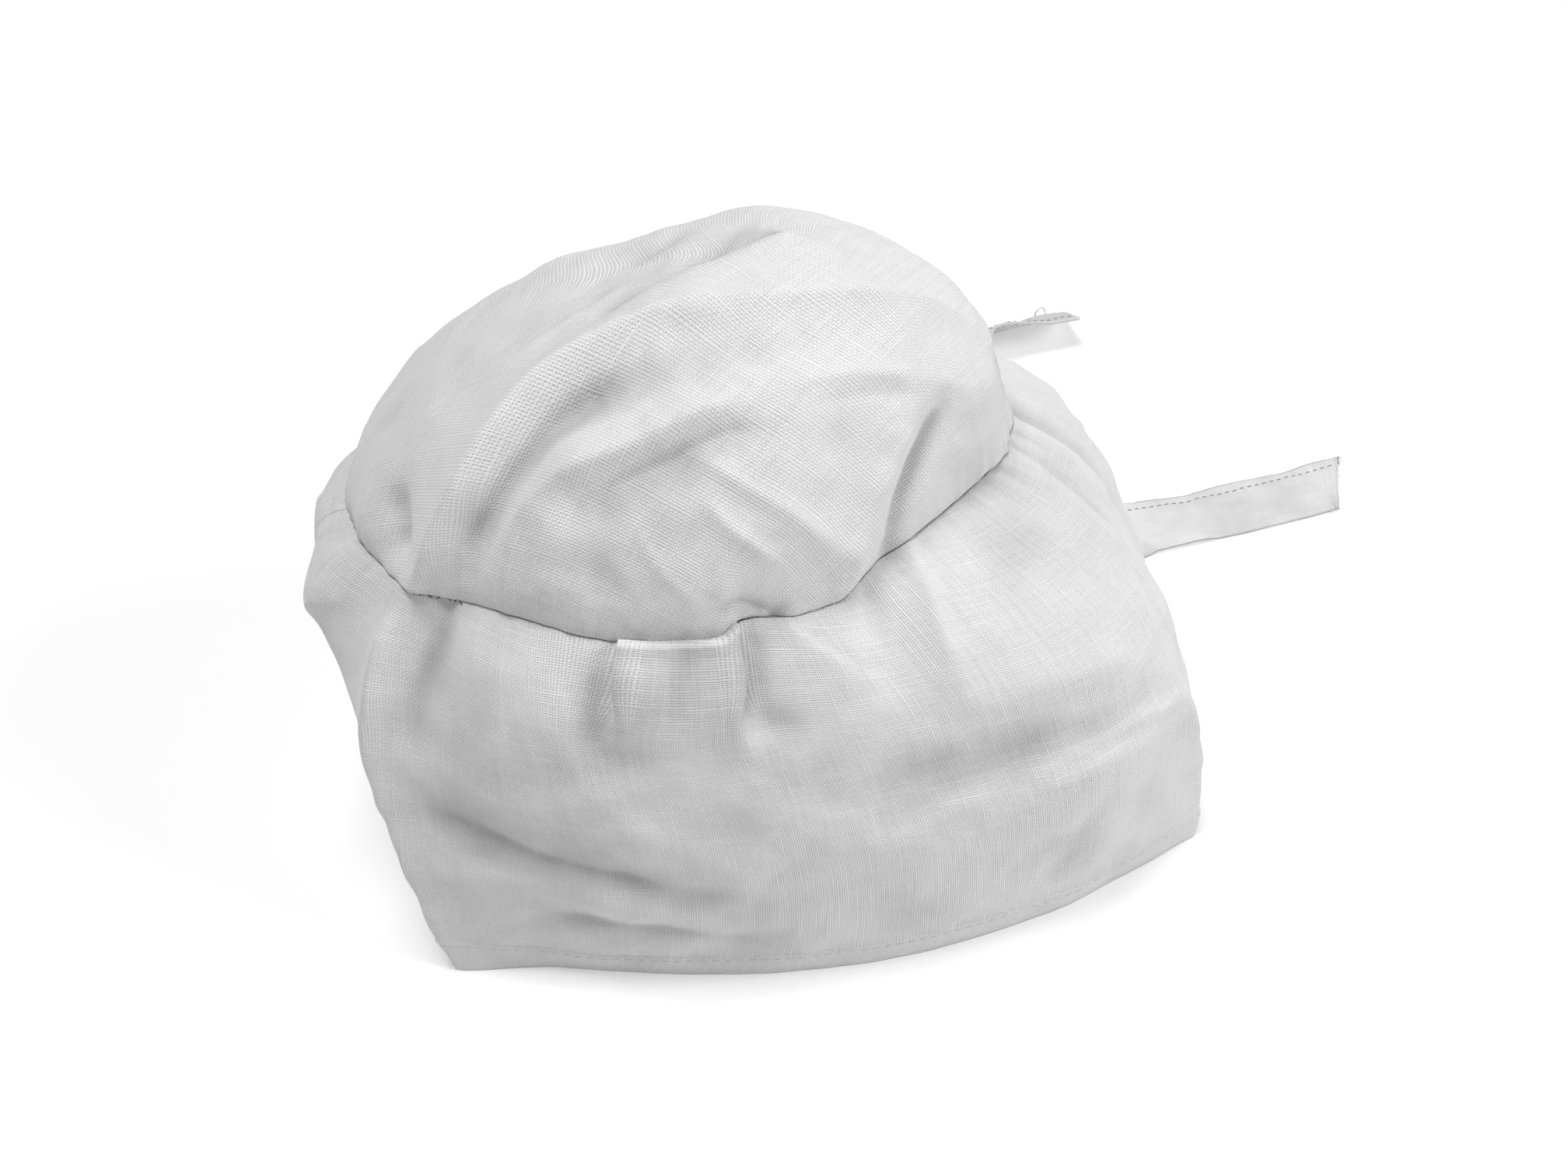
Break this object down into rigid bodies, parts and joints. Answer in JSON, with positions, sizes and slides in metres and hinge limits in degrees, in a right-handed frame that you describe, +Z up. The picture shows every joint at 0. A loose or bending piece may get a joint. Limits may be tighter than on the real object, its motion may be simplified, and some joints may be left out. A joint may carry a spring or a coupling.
{
  "type": "patka",
  "caption": "Soft white cotton cap with an oval crown sewn to a pleated, creased side band, open at the rim, with a free tie at each side of the back.",
  "frame": {"origin": "middle of the head opening, on the flat plane of the rim that the cap stands on", "axes": "+Z up through the crown, -X to the front of the cap, +X to the back where the ties leave, -Y the wearer's left side"},
  "size_m": [0.334, 0.2765, 0.1616],
  "materials": {
    "cotton_band": "plain weave white cotton",
    "cotton_crown": "plain weave white cotton",
    "cotton_tie": "folded and stitched white cotton strip"
  },
  "bodies": {
    "root": {"band": "cotton_band", "crown": "cotton_crown", "tie_left": "cotton_tie", "tie_right": "cotton_tie"}
  },
  "joints": []
}
